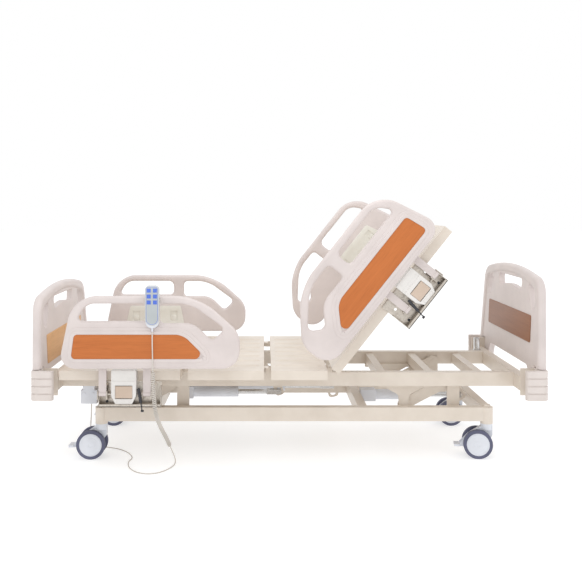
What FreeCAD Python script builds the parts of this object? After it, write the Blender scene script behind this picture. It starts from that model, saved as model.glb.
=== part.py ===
"""Adjustable hospital bed: lifting frame on casters, four-part deck, boards, side rails and handset.

X runs from the foot end (-) to the head end (+), Y from the near side (-) to the far side (+),
and Z up from the floor. The origin is on the floor under the middle of the bed. Millimetres.
"""
import FreeCAD, Part
import math
import os
import re
from FreeCAD import Placement, Rotation, Vector

doc = FreeCAD.newDocument("adjustable_hospital_bed")

SIZES = {
    # base frame
    "base_low": 160, "base_high": 220, "base_foot": -837, "base_head": 888,
    "cross_middle": -596, "cross_drive": 328,
    "base_out": 290, "base_width": 40, "cross_width": 40, "tube_wall": 3,
    "socket_radius": 27, "socket_bottom": 148, "cap_radius": 16, "cap_top": 229,
    "post_in": 220, "post_out": 230, "post_half": 27, "post_top": 350,
    # casters
    "caster_foot": -819, "caster_head": 871, "caster_side": 270, "caster_trail": 40, "caster_turn": 8,
    "wheel_radius": 62.5, "wheel_width": 24, "wheel_inside": 20.5, "disc_radius": 47.5,
    "axle_radius": 6, "stem_radius": 11, "stem_top": 204, "hood_radius": 26, "hood_bottom": 122,
    "fork_half": 15, "pedal_cheek": 4, "pedal_half": 26, "pin_gap": 0.05,
    # lift mechanism
    "lift_head": 735, "lift_foot": -465, "lift_pivot": 330, "arm_reach": 220, "arm_drop": 115,
    "arm_in": 206, "arm_thick": 10, "arm_half": 24, "lift_pin": 10, "open_gap": 1,
    "torque_share": 0.4, "torque_radius": 22, "lift_rod_drop": 119, "lift_swing": 69.3,
    # upper frame
    "frame_low": 310, "frame_high": 370, "frame_out": 272, "frame_width": 40,
    "end_in": 990, "end_out": 1030, "end_half": 400, "plate_thick": 5,
    # deck
    "deck_top": 413, "deck_half": 450, "rim_depth": 39, "sheet": 2, "rim_wall": 2.5,
    "rib_count": 7, "rib_pitch": 112, "rib_radius": 30, "rib_rise": 5, "rib_margin": 34,
    "leg_foot": -961, "leg_head": -456, "thigh_foot": -424, "thigh_head": -106,
    "seat_foot": -76, "seat_head": 160, "back_start": 22, "back_end": 780,
    "hinge_height": 394, "knee_hinge": -440, "thigh_hinge": -91, "back_hinge": 178,
    "back_angle": 51.5, "hinge_pin": 6, "lug_radius": 9, "lug_in": 300, "lug_out": 340, "ear_thick": 6,
    # section levers and actuators
    "lever_thick": 12, "lever_side": 60, "rod_height": 238, "drive_pin": 6, "rod_radius": 11,
    "barrel_radius": 24, "gearbox_half": 27, "mouth_deep": 44,
    "back_slack": 7.5, "knee_slack": 3, "lift_slack": 5,
    # boards and bumpers
    "board_in": 1042, "board_out": 1072, "post_face": 1035, "post_back": 1073, "board_half": 460,
    "board_rim": 45, "board_taper": 48, "board_lean": 2.4, "shoulder": 790, "arch_rise": 62,
    "arch_radius": 2000, "board_foot_drop": 80,
    "bumper_in": 980, "bumper_end": 1073, "bumper_side_in": 405.5, "bumper_side_out": 490,
    "bumper_wall_x": 1038, "bumper_wall_y": 462,
    "bumper_low": 296, "bumper_high": 416, "bumper_grooves": 3, "groove_depth": 3, "groove_tall": 6,
    "inlay_thick": 3, "inlay_half": 322,
    # side rails, measured from the rail's blunt end, the middle plane and the deck's top
    "rail_in": 485, "rail_out": 515, "rail_high": 318, 
    "rail_foot": -939, "rail_back": 758, "swing_pivot_out": 470, "swing_low": -93, "swing_high": 43,
    "swing_half": 16, "swing_first": 164, "swing_second": 348, "swing_eye": 9, "swing_web": 4,
    "swing_pin": 4, "mount_start": 149, "mount_end": 407, "mount_low": -144, "mount_high": -2,
    "mount_in": 450.5, "mount_plate": 4, "flange_out": 482, "housing_start": 203, "housing_end": 306,
    "housing_low": -130, "housing_high": 12, "housing_out": 492, "release_start": 220,
    "release_end": 290, "release_low": -105, "release_high": -56, "release_thick": 6,
    "release_gap": 3, "release_pin": 2,
    # handset and its cord
    "handset_left": -590, "handset_right": -532, "handset_low": 603, "handset_high": 777,
    "handset_front": -540, "handset_back": -518, "hook_thick": 4, "key_size": 16, "key_pitch_x": 25,
    "key_pitch_z": 24, "key_top": 757, "key_sink": 4.5, "key_proud": 1.5, "cord_radius": 2.5,
    "curl_radius": 9,
    # control box and pole socket
    "box_left": -913, "box_right": -842, "box_near": -262, "box_far": -150, "box_low": 230,
    "box_high": 289, "socket_x": 974.5, "socket_y": 289, "pole_radius": 10, "pole_wall": 5,
    "socket_low": 342, "socket_top": 430,
}

dims = doc.addObject("Spreadsheet::Sheet", "dims")
for row, (word, number) in enumerate(SIZES.items(), start=1):
    dims.set(f"A{row}", word)
    dims.set(f"B{row}", str(number))
    dims.setAlias(f"B{row}", word)
doc.recompute()

SIDES = {"near": -1, "far": 1}
ENDS = {"foot": -1, "head": 1}
ALONG = {"x": Rotation(Vector(0, 1, 0), 90), "y": Rotation(Vector(1, 0, 0), -90), "z": Rotation()}
PLANES = {
    "xz": (Rotation(Vector(1, 0, 0), 90), Vector(0, 1, 0), "y"),
    "yz": (Rotation(Vector(1, 1, 1), 120), Vector(1, 0, 0), "x"),
    "xy": (Rotation(), Vector(0, 0, 1), "z"),
}
nodes = []


def value(word):
    """A size from the sheet, as a number."""
    return float(dims.get(word))


def bind(thing, place, rule):
    """Drive one property by a rule written in the sheet's words, or by a plain number."""
    rule = re.sub(r"[a-z]\w*", lambda found: "dims." + found[0], str(rule))
    thing.setExpression(place, rule)


def box(name, x, y, z):
    """A block between two limits on each axis."""
    block = doc.addObject("Part::Box", name)
    for side, letter, (low, high) in zip(("Length", "Width", "Height"), "xyz", (x, y, z)):
        bind(block, side, f"({high}) - ({low})")
        bind(block, f"Placement.Base.{letter}", low)
    return block


def tube(name, axis, x, y, z):
    """A square steel tube along one axis, open at its ends."""
    inside = [(f"({low}) + tube_wall", f"({high}) - tube_wall") for low, high in (x, y, z)]
    along = "xyz".index(axis)
    low, high = (x, y, z)[along]
    inside[along] = (f"({low}) - 1", f"({high}) + 1")
    shell = doc.addObject("Part::Cut", name)
    shell.Base = box(name + "_outside", x, y, z)
    shell.Tool = box(name + "_inside", *inside)
    return shell


def rod(name, axis, radius, start, length):
    """A round bar along one axis, from its start point."""
    bar = doc.addObject("Part::Cylinder", name)
    bar.Placement = Placement(Vector(), ALONG[axis])
    bind(bar, "Radius", radius)
    bind(bar, "Height", length)
    for letter, rule in zip("xyz", start):
        bind(bar, f"Placement.Base.{letter}", rule)
    return bar


def rounded(corners):
    """Lines and tangent arcs round a closed outline of (a, b, radius) corners."""
    edges = []
    starts, ends = [], []
    count = len(corners)
    for number, (a, b, radius) in enumerate(corners):
        here = Vector(a, b, 0)
        before = (Vector(*corners[number - 1][:2], 0) - here).normalize()
        after = (Vector(*corners[(number + 1) % count][:2], 0) - here).normalize()
        reach = radius / math.tan(before.getAngle(after) / 2)
        starts.append(here + before * reach)
        ends.append(here + after * reach)
        if radius:
            middle = (before + after).normalize()
            centre = here + middle * (radius / math.sin(before.getAngle(after) / 2))
            edges.append(Part.Arc(starts[-1], centre - middle * radius, ends[-1]))
    for number in range(count):
        start, end = ends[number], starts[(number + 1) % count]
        if start.distanceToPoint(end) > 0.01:
            edges.append(Part.LineSegment(start, end))
    return edges


def prism(name, plane, corners, low, high):
    """A plate with a rounded outline, between two limits across its plane."""
    turn, normal, letter = PLANES[plane]
    outline = doc.addObject("Sketcher::SketchObject", name + "_outline")
    outline.addGeometry(rounded(corners), False)
    outline.Placement = Placement(Vector(), turn)
    bind(outline, f"Placement.Base.{letter}", low)
    plate = doc.addObject("Part::Extrusion", name)
    plate.Base = outline
    plate.DirMode = "Custom"
    plate.Dir = normal
    plate.Solid = True
    bind(plate, "LengthFwd", f"({high}) - ({low})")
    return plate


def fuse(name, parts):
    """Several solids made one."""
    if len(parts) == 1:
        return parts[0]
    whole = doc.addObject("Part::MultiFuse", name)
    whole.Shapes = parts
    whole.Refine = True
    return whole


def cut(name, base, tools):
    """A solid with others taken out of it."""
    rest = doc.addObject("Part::Cut", name)
    rest.Base = base
    rest.Tool = fuse(name + "_tools", tools)
    rest.Refine = True
    return rest


def group(name, parts):
    """Separate solids that make one node."""
    together = doc.addObject("Part::Compound", name)
    together.Links = parts
    return together


def keep(label, piece, place=None):
    """Name a finished sub-part and put it in its place."""
    piece.Label = label
    if place:
        piece.Placement = place
    nodes.append(piece)
    return piece


def across(side, low, high):
    """Limits on Y of a thing between two distances out from the middle plane."""
    return (low, high) if side > 0 else (f"-({high})", f"-({low})")


def flip(corners, sign):
    """An outline, or its mirror image in the first coordinate."""
    return [(sign * a, b, radius) for a, b, radius in corners]


BACK_PLACE = Placement(
    Vector(value("back_hinge"), 0, value("hinge_height")),
    Rotation(Vector(0, -1, 0), value("back_angle")),
)


# Base frame -----------------------------------------------------------------------------------------
def make_base_frame():
    bars, bores = [], []
    height = ("base_low", "base_high")
    for side_name, side in SIDES.items():
        rail = across(side, "base_out - base_width", "base_out")
        bars.append(tube("base_rail_" + side_name, "x", ("base_foot", "base_head"), rail, height))
        for end_name in ENDS:
            where = "caster_" + end_name
            middle = f"{side} * caster_side"
            name = f"{end_name}_{side_name}"
            bars.append(rod("socket_" + name, "z", "socket_radius", (where, middle, "socket_bottom"),
                            "base_high - socket_bottom"))
            bars.append(rod("cap_" + name, "z", "cap_radius", (where, middle, "base_high"),
                            "cap_top - base_high"))
            bores.append(rod("bore_" + name, "z", "stem_radius + pin_gap", (where, middle, "socket_bottom - 1"),
                             "stem_top + 2 - socket_bottom"))
            post_x = "lift_" + end_name
            bars.append(box("post_" + name, (f"{post_x} - post_half", f"{post_x} + post_half"),
                            across(side, "post_in", "post_out"), ("base_low + 6", "post_top")))
            bars.append(box("post_foot_" + name, (f"{post_x} - post_half", f"{post_x} + post_half"),
                            across(side, "post_out - 1", "base_out - base_width + 1"),
                            ("base_low + 6", "base_high - 6")))
            bars.append(rod("post_pin_" + name, "y", "lift_pin",
                            (post_x, f"{side} * (post_out + arm_in - 2) / 2 - (post_out - arm_in + 2) / 2",
                             "lift_pivot"), "post_out - arm_in + 2"))
    for where in ("caster_foot", "cross_middle", "cross_drive", "caster_head"):
        bars.append(tube("base_cross_" + where, "y", (f"{where} - cross_width / 2", f"{where} + cross_width / 2"),
                         ("-base_out + base_width - 2", "base_out - base_width + 2"), height))
    keep("base_frame", cut("base_frame", fuse("base_steel", bars), bores))


# Casters --------------------------------------------------------------------------------------------
FORK = [(24, 136, 0), (24, 98, 12), (-20, 36, 16), (-64, 36, 22), (-82, 74, 14), (-72, 104, 14), (-24, 136, 0)]
CHEEK = [(-57, 84, 6), (-60, 100, 6), (-76, 100, 8), (-116, 60, 4), (-116, 47, 3), (-96, 47, 6)]
PEDAL_PIVOT = (-66, 91)


def make_caster(name, end, side):
    """One twin-wheel caster, drawn with its stem on the Z axis and then put under its corner."""
    turn = -value("caster_turn") if (end, side) == ("head", "near") else 0
    place = Placement(Vector(value("caster_" + end), SIDES[side] * value("caster_side"), 0),
                      Rotation(Vector(0, 0, 1), turn))
    pivot_x, pivot_z = PEDAL_PIVOT
    hood = rod("hood_" + name, "z", "hood_radius", (0, 0, "hood_bottom"), "socket_bottom - hood_bottom - 0.5")
    stem = rod("stem_" + name, "z", "stem_radius", (0, 0, "hood_bottom"), "stem_top - hood_bottom")
    web = prism("web_" + name, "xz", FORK, "-fork_half", "fork_half")
    bores = [
        rod("axle_bore_" + name, "y", "axle_radius + pin_gap", ("-caster_trail", -40, "wheel_radius"), 80),
        rod("pedal_bore_" + name, "y", "4 + pin_gap", (pivot_x, -40, pivot_z), 80),
    ]
    fork = cut("caster_fork_" + name, fuse("fork_solid_" + name, [hood, stem, web]), bores)
    keep("caster_fork_" + name, fork, place)

    wheels = []
    for face_name, face in SIDES.items():
        low = "wheel_inside" if face > 0 else "-wheel_inside - wheel_width"
        rubber = rod(f"rubber_{name}_{face_name}", "y", "wheel_radius", ("-caster_trail", low, "wheel_radius"),
                     "wheel_width")
        round_edge = doc.addObject("Part::Fillet", f"round_tyre_{name}_{face_name}")
        round_edge.Base = rubber
        round_edge.Edges = [(1, 7, 7), (3, 7, 7)]
        hole = rod(f"hole_{name}_{face_name}", "y", "disc_radius", ("-caster_trail", low, "wheel_radius"),
                   "wheel_width")
        wheels.append(cut(f"tyre_{name}_{face_name}", round_edge, [hole]))
        wheels.append(rod(f"disc_{name}_{face_name}", "y", "disc_radius", ("-caster_trail", low, "wheel_radius"),
                          "wheel_width"))
    axle = rod("axle_" + name, "y", "axle_radius", ("-caster_trail", "-wheel_inside", "wheel_radius"),
               "2 * wheel_inside")
    keep("caster_wheels_" + name, group("caster_wheels_" + name, wheels + [axle]), place)

    parts = [rod("pedal_pin_" + name, "y", 4, (pivot_x, "-wheel_inside + 1", pivot_z), "2 * wheel_inside - 2")]
    for face_name, face in SIDES.items():
        cheek = across(face, "fork_half + 0.5", "fork_half + 0.5 + pedal_cheek")
        parts.append(prism(f"cheek_{name}_{face_name}", "xz", CHEEK, *cheek))
    parts.append(box("tread_" + name, (-140, -118), ("-pedal_half", "pedal_half"), (47, 56)))
    parts.append(box("tread_neck_" + name, (-120, -106), ("-wheel_inside + 1", "wheel_inside - 1"), (47, 56)))
    keep("caster_pedal_" + name, fuse("caster_pedal_" + name, parts), place)


# Lift arms ------------------------------------------------------------------------------------------
LIFT_LEVER = [(-104, -40, 8), (-84, -24, 8), (14, -30, 30), (78, -68, 20), (115, -128, 10), (80, -153, 10),
              (42, -98, 16), (-64, -70, 30)]


def slot(name, hinge, angle, near, far, half, y):
    """The cutter of a straight slot that points away from a hinge, at an angle from straight down."""
    reach = Vector(math.sin(math.radians(angle)), -math.cos(math.radians(angle)), 0)
    side = Vector(reach.y, -reach.x, 0)
    ends = [reach * near + side * half, reach * far + side * half,
            reach * far - side * half, reach * near - side * half]
    corners = [(hinge[0] + point.x, hinge[1] + point.y, half * 0.9) for point in ends]
    return prism(name, "xz", corners, *y)


def make_lift_arm(end):
    pivot_x, pivot_z = value("lift_" + end), value("lift_pivot")
    reach, drop, half = value("arm_reach"), value("arm_drop"), value("arm_half")
    run = math.hypot(reach, drop)
    along = Vector(-reach / run, -drop / run, 0)
    normal = Vector(-along.y, along.x, 0)
    corners = []
    for distance, sign in ((-half, 1), (-half, -1), (run + half, -1), (run + half, 1)):
        point = along * distance + normal * (half * sign)
        corners.append((pivot_x + point.x, pivot_z + point.y, half * 0.95))
    parts, bores = [], []
    for side_name, side in SIDES.items():
        layer = across(side, "arm_in", "arm_in + arm_thick")
        name = f"{end}_{side_name}"
        parts.append(prism("arm_plate_" + name, "xz", corners, *layer))
        low = across(side, "arm_in - 1", "arm_in + arm_thick + 1")[0]
        bores.append(rod("arm_bore_" + name, "y", "lift_pin + pin_gap", ("lift_" + end, low, "lift_pivot"),
                         "arm_thick + 2"))
        gap = "pin_gap" if end == "head" else "open_gap"
        bores.append(rod("apex_bore_" + name, "y", f"lift_pin + {gap}",
                         (f"lift_{end} - arm_reach", low, "lift_pivot - arm_drop"), "arm_thick + 2"))
    share = "torque_share"
    parts.append(rod("torque_tube_" + end, "y", "torque_radius",
                     (f"lift_{end} - arm_reach * {share}", "-arm_in - 1", f"lift_pivot - arm_drop * {share}"),
                     "2 * arm_in + 2"))
    if end == "head":
        lever = [(pivot_x + a, pivot_z + b, radius) for a, b, radius in LIFT_LEVER]
        parts.append(prism("lift_lever", "xz", lever, "-lever_thick / 2", "lever_thick / 2"))
        bores.append(slot("lift_slot", (pivot_x, pivot_z), value("lift_swing") / 2, 108, 160,
                          value("drive_pin") + value("lift_slack"), ("-lever_thick", "lever_thick")))
    keep("lift_arm_" + end, cut("lift_arm_" + end, fuse("arm_solid_" + end, parts), bores))


# Upper frame ----------------------------------------------------------------------------------------
def make_upper_frame():
    steel = []
    tall = ("frame_low", "frame_high")
    for side_name, side in SIDES.items():
        wide = across(side, "frame_out - frame_width", "frame_out")
        steel.append(tube("long_tube_" + side_name, "x", ("-end_in - 2", "end_in + 2"), wide, tall))
        for end_name, end in ENDS.items():
            name = f"{end_name}_{side_name}"
            apex = value("lift_" + end_name) - value("arm_reach")
            low, high = value("lift_pivot") - value("arm_drop") - 20, value("frame_low") + 1
            hanger = [(apex - 19, low, 10), (apex + 19, low, 10), (apex + 24, 262, 20), (apex + 120, high, 0),
                      (apex - 115, high, 0), (apex - 24, 262, 20)]
            steel.append(prism("hanger_" + name, "xz", hanger, *across(side, "post_in", "post_out")))
            steel.append(box("hanger_weld_" + name, (apex - 115, apex + 120),
                             across(side, "post_in", "frame_out - frame_width + 8"),
                             ("frame_low - 14", "frame_low + 1")))
            pin_low = across(side, "arm_in - 2", "post_out")[0]
            steel.append(rod("hanger_pin_" + name, "y", "lift_pin", (apex, pin_low, "lift_pivot - arm_drop"),
                             "post_out - arm_in + 2"))
            plate = across(side, "end_half", "end_half + plate_thick")
            steel.append(box("bumper_plate_" + name, sorted_span(end, "bumper_in - 2", "bumper_end - 1"),
                             plate, ("bumper_low + 4", "bumper_high - 2")))
            steel.append(box("board_stud_" + name, sorted_span(end, "end_out - 1", "board_in - 3.5"),
                             across(side, 345, 385), ("frame_low + 26", "frame_high - 4")))
        for number, start in enumerate(("rail_foot + swing_first", "rail_foot + swing_second")):
            steel.append(box(f"outrigger_{side_name}_{number}", (f"{start} - 14", f"{start} + 14"),
                             across(side, "frame_out - 5", "mount_in"), ("frame_low + 4", "frame_low + 34")))
        for number, where in enumerate(("seat_foot + 22", "seat_head - 22")):
            steel.append(box(f"seat_foot_{side_name}_{number}", (f"{where} - 15", f"{where} + 15"),
                             across(side, "frame_out - frame_width", "frame_out"),
                             ("frame_high - 1", "deck_top - sheet")))
    for end_name, end in ENDS.items():
        steel.append(tube("end_tube_" + end_name, "y", sorted_span(end, "end_in", "end_out"),
                          ("-end_half", "end_half"), tall))
    for number, where in enumerate((-640, -290, 420, 630, 850)):
        steel.append(tube(f"cross_tube_{number}", "y", (where - 18, where + 18),
                          ("-frame_out + frame_width - 2", "frame_out - frame_width + 2"),
                          ("frame_low + 6", "frame_high - 8")))
    keep("upper_frame", fuse("upper_frame", steel))


def sorted_span(end, low, high):
    """Limits on X of a thing between two distances towards one end."""
    return (low, high) if end > 0 else (f"-({high})", f"-({low})")


# Deck -----------------------------------------------------------------------------------------------
def panel(name, start, end, top="deck_top"):
    """Pressed sheet with a folded rim and raised ribs along it."""
    outside = box("blank_" + name, (start, end), ("-deck_half", "deck_half"), (f"{top} - rim_depth", top))
    ribs = []
    sink = value("rib_radius") - value("rib_rise")
    first = -(value("rib_count") - 1) / 2
    for number in range(int(value("rib_count"))):
        middle = f"{first + number} * rib_pitch"
        low, high = f"{start} + rib_margin", f"{end} - rib_margin"
        ribs.append(rod(f"rib_{name}_{number}", "x", "rib_radius", (low, middle, f"{top} - {sink}"),
                        f"({high}) - ({low})"))
        for tip_number, tip in enumerate((low, high)):
            ball = doc.addObject("Part::Sphere", f"rib_end_{name}_{number}_{tip_number}")
            bind(ball, "Radius", "rib_radius")
            for letter, rule in zip("xyz", (tip, middle, f"{top} - {sink}")):
                bind(ball, f"Placement.Base.{letter}", rule)
            ribs.append(ball)
    hollow = box("hollow_" + name, (f"{start} + rim_wall", f"{end} - rim_wall"),
                 ("-deck_half + rim_wall", "deck_half - rim_wall"),
                 (f"{top} - rim_depth - 60", f"{top} - sheet"))
    below = box("below_" + name, (f"{start} - 5", f"{end} + 5"), ("-deck_half", "deck_half"),
                (f"{top} - rim_depth - 90", f"{top} - rim_depth"))
    return cut("sheet_" + name, fuse("stamped_" + name, [outside] + ribs), [hollow, below])


def hinge_ears(name, hinge_x, hinge_z, edge, sign):
    """The fixed half of a deck hinge on both sides: two ears and the pin between them."""
    parts = []
    for side_name, side in SIDES.items():
        for number, low in enumerate(("lug_in - 0.5 - ear_thick", "lug_out + 0.5")):
            span = (edge, f"{hinge_x} + 8") if sign > 0 else (f"{hinge_x} - 8", edge)
            parts.append(box(f"ear_{name}_{side_name}_{number}", span, across(side, low, f"{low} + ear_thick"),
                             (f"{hinge_z} - 9", f"{hinge_z} + 9")))
        low = across(side, "lug_in - 6", "lug_out + 6")[0]
        parts.append(rod(f"pin_{name}_{side_name}", "y", "hinge_pin", (hinge_x, low, hinge_z),
                         "lug_out - lug_in + 12"))
    return parts


def hinge_lugs(name, hinge_x, hinge_z, edge, sign):
    """The turning half of a deck hinge on both sides: a lug round each pin, and its bore."""
    parts, bores = [], []
    for side_name, side in SIDES.items():
        span = (hinge_x, edge) if sign > 0 else (edge, hinge_x)
        layer = across(side, "lug_in", "lug_out")
        parts.append(box(f"lug_{name}_{side_name}", span, layer,
                         (f"{hinge_z} - lug_radius", f"{hinge_z} + lug_radius")))
        parts.append(rod(f"lug_eye_{name}_{side_name}", "y", "lug_radius", (hinge_x, layer[0], hinge_z),
                         "lug_out - lug_in"))
        bores.append(rod(f"lug_bore_{name}_{side_name}", "y", "hinge_pin + pin_gap",
                         (hinge_x, f"{layer[0]} - 1", hinge_z), "lug_out - lug_in + 2"))
    return parts, bores


BACK_LEVER = [(24, -14, 0), (12, -34, 8), (-14, -34, 12), (-80, -64, 20), (-149, -155, 14), (-111, -185, 14),
              (-42, -94, 20), (84, -30, 12), (84, -14, 0)]
KNEE_LEVER = [(-60, -14, 0), (-60, -30, 8), (16, -100, 20), (44, -178, 12), (81, -164, 12), (53, -87, 20),
              (-13, -14, 0)]


def make_deck():
    seat = [panel("seat", "seat_foot", "seat_head")]
    seat += hinge_ears("back", "back_hinge", "hinge_height", "seat_head - 2", 1)
    seat += hinge_ears("thigh", "thigh_hinge", "hinge_height", "seat_foot + 2", -1)
    keep("seat_section", fuse("seat_section", seat))

    hinge = (value("thigh_hinge"), value("hinge_height"))
    lugs, bores = hinge_lugs("thigh", "thigh_hinge", "hinge_height", "thigh_head - 2", -1)
    lever = prism("knee_lever", "xz", [(hinge[0] + a, hinge[1] + b, radius) for a, b, radius in KNEE_LEVER],
                  "-lever_side - lever_thick / 2", "-lever_side + lever_thick / 2")
    knee_slot = slot("knee_slot", hinge, 20, 146, 176, value("drive_pin") + value("knee_slack"),
                     ("-lever_side - lever_thick", "-lever_side + lever_thick"))
    thigh = [panel("thigh", "thigh_foot", "thigh_head"), lever] + lugs
    thigh += hinge_ears("knee", "knee_hinge", "hinge_height", "thigh_foot + 2", -1)
    keep("thigh_section", cut("thigh_section", fuse("thigh_solid", thigh), bores + [knee_slot]))

    lugs, bores = hinge_lugs("knee", "knee_hinge", "hinge_height", "leg_head - 2", -1)
    leg = [panel("leg", "leg_foot", "leg_head")] + lugs
    keep("leg_section", cut("leg_section", fuse("leg_solid", leg), bores))

    lugs, bores = hinge_lugs("back", 0, 0, "back_start + 2", 1)
    lever = prism("back_lever", "xz", BACK_LEVER, "lever_side - lever_thick / 2", "lever_side + lever_thick / 2")
    back_slot = slot("back_slot", (0, 0), -37.5, 148, 208, value("drive_pin") + value("back_slack"),
                     ("lever_side - lever_thick", "lever_side + lever_thick"))
    back = [panel("back", "back_start", "back_end", "deck_top - hinge_height"), lever] + lugs
    keep("back_section", cut("back_section", fuse("back_solid", back), bores + [back_slot]), BACK_PLACE)


# Actuators ------------------------------------------------------------------------------------------
def make_actuator(name, barrel, pin_x, height, middle, tail, bracket=()):
    """A linear actuator along X: fixed barrel with its motor, sliding rod with a fork and a cross pin.

    Its bracket is a set of blocks, each a pair of X limits, a half width and a pair of Z limits.
    """
    low, high = barrel
    body = rod(name + "_barrel", "x", "barrel_radius", (low, middle, height), f"({high}) - ({low})")
    motor = box(name + "_gearbox", (f"{low} - 62", f"{low} + 8"),
                (f"{middle} - gearbox_half", f"{middle} + gearbox_half"),
                (f"{height} - gearbox_half", f"{height} + gearbox_half"))
    bore = rod(name + "_bore", "x", "rod_radius + 0.3", (f"{low} + 12", middle, height), f"({high}) - ({low})")
    case = [body, motor]
    for number, (span, half, levels) in enumerate(bracket):
        wide = (f"{middle} - {half}", f"{middle} + {half}")
        case.append(box(f"{name}_bracket_{number}", span, wide, levels))
    solid = cut(name + "_motor", fuse(name + "_case", case), [bore])
    keep(name + "_motor", solid)

    shaft = rod(name + "_shaft", "x", "rod_radius", (tail, middle, height),
                f"({pin_x}) - mouth_deep - 6 - ({tail})")
    yoke = box(name + "_yoke", (f"{pin_x} - mouth_deep - 14", f"{pin_x} + 10"),
               (f"{middle} - 15", f"{middle} + 15"), (f"{height} - 11", f"{height} + 11"))
    mouth = box(name + "_mouth", (f"{pin_x} - mouth_deep", f"{pin_x} + 11"),
                (f"{middle} - 7.5", f"{middle} + 7.5"), (f"{height} - 12", f"{height} + 12"))
    pin = rod(name + "_drive_pin", "y", "drive_pin", (pin_x, f"{middle} - 17", height), 34)
    fork = cut(name + "_fork", fuse(name + "_bar", [shaft, yoke]), [mouth])
    keep(name + "_rod", fuse(name + "_rod", [fork, pin]))


# Boards, bumpers and small fittings -----------------------------------------------------------------
def board_outline(lift):
    """The thin panel with its two feet, up into the middle of the rounded rim."""
    half, top = value("board_half") - 22, value("shoulder") + lift - 20
    right = [(290, 407 + lift / 4, 30), (318, 336, 10), (384, 336, 10), (384, 419, 0), (half, 419, 0),
             (half - value("board_taper"), top, 70)]
    left = [(-a, b, r) for a, b, r in reversed(right)]
    return right + [(0, top + value("arch_rise"), value("arch_radius") * 0.8)] + left


def board_rim(lift):
    """The thick rim: two posts that lean together and the arch over them, drawn as one band."""
    half, width, taper = value("board_half"), value("board_rim"), value("board_taper")
    foot, shoulder = value("bumper_high") + 3, value("shoulder") + lift
    peak, radius = shoulder + value("arch_rise"), value("arch_radius")
    post = [(half, foot, 0), (half - taper, shoulder, 85)]
    inner = [(half - width, foot, 0), (half - taper - width, shoulder - width, 50)]
    outer = post + [(0, peak, radius)] + [(-a, b, r) for a, b, r in reversed(post)]
    inside = [(-a, b, r) for a, b, r in inner] + [(0, peak - width, radius * 0.7)] + inner[::-1]
    return outer + inside


def board_openings(lift):
    """The carrying opening in the middle and one beside it on each side."""
    middle = [(-166, 720 + lift, 16), (0, 738 + lift, 500), (166, 720 + lift, 16), (182, 774 + lift, 18),
              (-182, 774 + lift, 18)]
    beside = [(318, 648 + lift, 18), (360, 672 + lift, 36), (356, 744 + lift, 30), (258, 766 + lift, 16)]
    return [middle, beside, flip(beside, -1)]


def outline_body(label, role, outlines, offset, thickness, reverse=False):
    """A body padded from one sketch: its outer outline, and the outlines of its openings inside it."""
    body = doc.addObject("PartDesign::Body", label)
    sketch = body.newObject("Sketcher::SketchObject", label + "_sketch")
    plane = next(item for item in body.Origin.OriginFeatures if item.Role == role)
    sketch.AttachmentSupport = [(plane, "")]
    sketch.MapMode = "FlatFace"
    bind(sketch, "AttachmentOffset.Base.z", offset)
    for corners in outlines:
        sketch.addGeometry(rounded(corners), False)
    pad = body.newObject("PartDesign::Pad", label + "_pad")
    pad.Profile = sketch
    pad.Reversed = reverse
    bind(pad, "Length", thickness)
    doc.recompute()
    return body, pad


def round_edges(body, pad, radius, axis, places, above=0):
    """Round every edge of a body that lies in one of two faces across an axis and reaches over a height."""
    chosen = []
    for number, edge in enumerate(pad.Shape.Edges, start=1):
        limits = (getattr(edge.BoundBox, axis + "Min"), getattr(edge.BoundBox, axis + "Max"))
        flat = any(abs(limits[0] - place) < 0.01 and abs(limits[1] - place) < 0.01 for place in places)
        if flat and edge.BoundBox.ZMax > above:
            chosen.append(f"Edge{number}")
    round_over = body.newObject("PartDesign::Fillet", body.Name + "_round")
    round_over.Base = (pad, chosen)
    bind(round_over, "Radius", radius)
    body.Tip = round_over


def lean_place(end):
    """The boards lean outwards, each about the line on which its posts stand."""
    base = Vector(end * value("board_in"), 0, value("bumper_high"))
    return Placement(Vector(), Rotation(Vector(0, 1, 0), end * value("board_lean")), base)


def make_boards():
    inlays = []
    for end_name, end in ENDS.items():
        lift = -value("board_foot_drop") if end < 0 else 0
        start = "board_in" if end > 0 else "-board_out"
        outlines = [board_outline(lift)] + board_openings(lift)
        body, pad = outline_body(end_name + "_board_panel", "YZ_Plane", outlines, start, "board_out - board_in")
        round_edges(body, pad, 4, "X", (end * value("board_in"), end * value("board_out")))
        start = "post_face" if end > 0 else "-post_back"
        rim, rim_pad = outline_body(end_name + "_board_rim", "YZ_Plane", [board_rim(lift)], start,
                                    "post_back - post_face")
        faces = (end * value("post_face"), end * value("post_back"))
        round_edges(rim, rim_pad, 17, "X", faces, above=value("bumper_high") + 4)
        lean = lean_place(end)
        keep(end_name + "_board", fuse(end_name + "_board", [body, rim]), lean)
        low, high = (508, 627) if end > 0 else (418, 543)
        half = value("inlay_half")
        corners = [(-half, low, 10), (half, low, 10), (half, high, 10), (-half, high, 10)]
        inner = sorted_span(end, "board_in - inlay_thick", "board_in")
        outer = sorted_span(end, "board_out", "board_out + inlay_thick")
        pair = group("inlays_" + end_name, [prism("inlay_inner_" + end_name, "yz", corners, *inner),
                                            prism("inlay_outer_" + end_name, "yz", corners, *outer)])
        pair.Placement = lean
        inlays.append(pair)
    keep("board_inserts", group("board_inserts", inlays))


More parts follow.
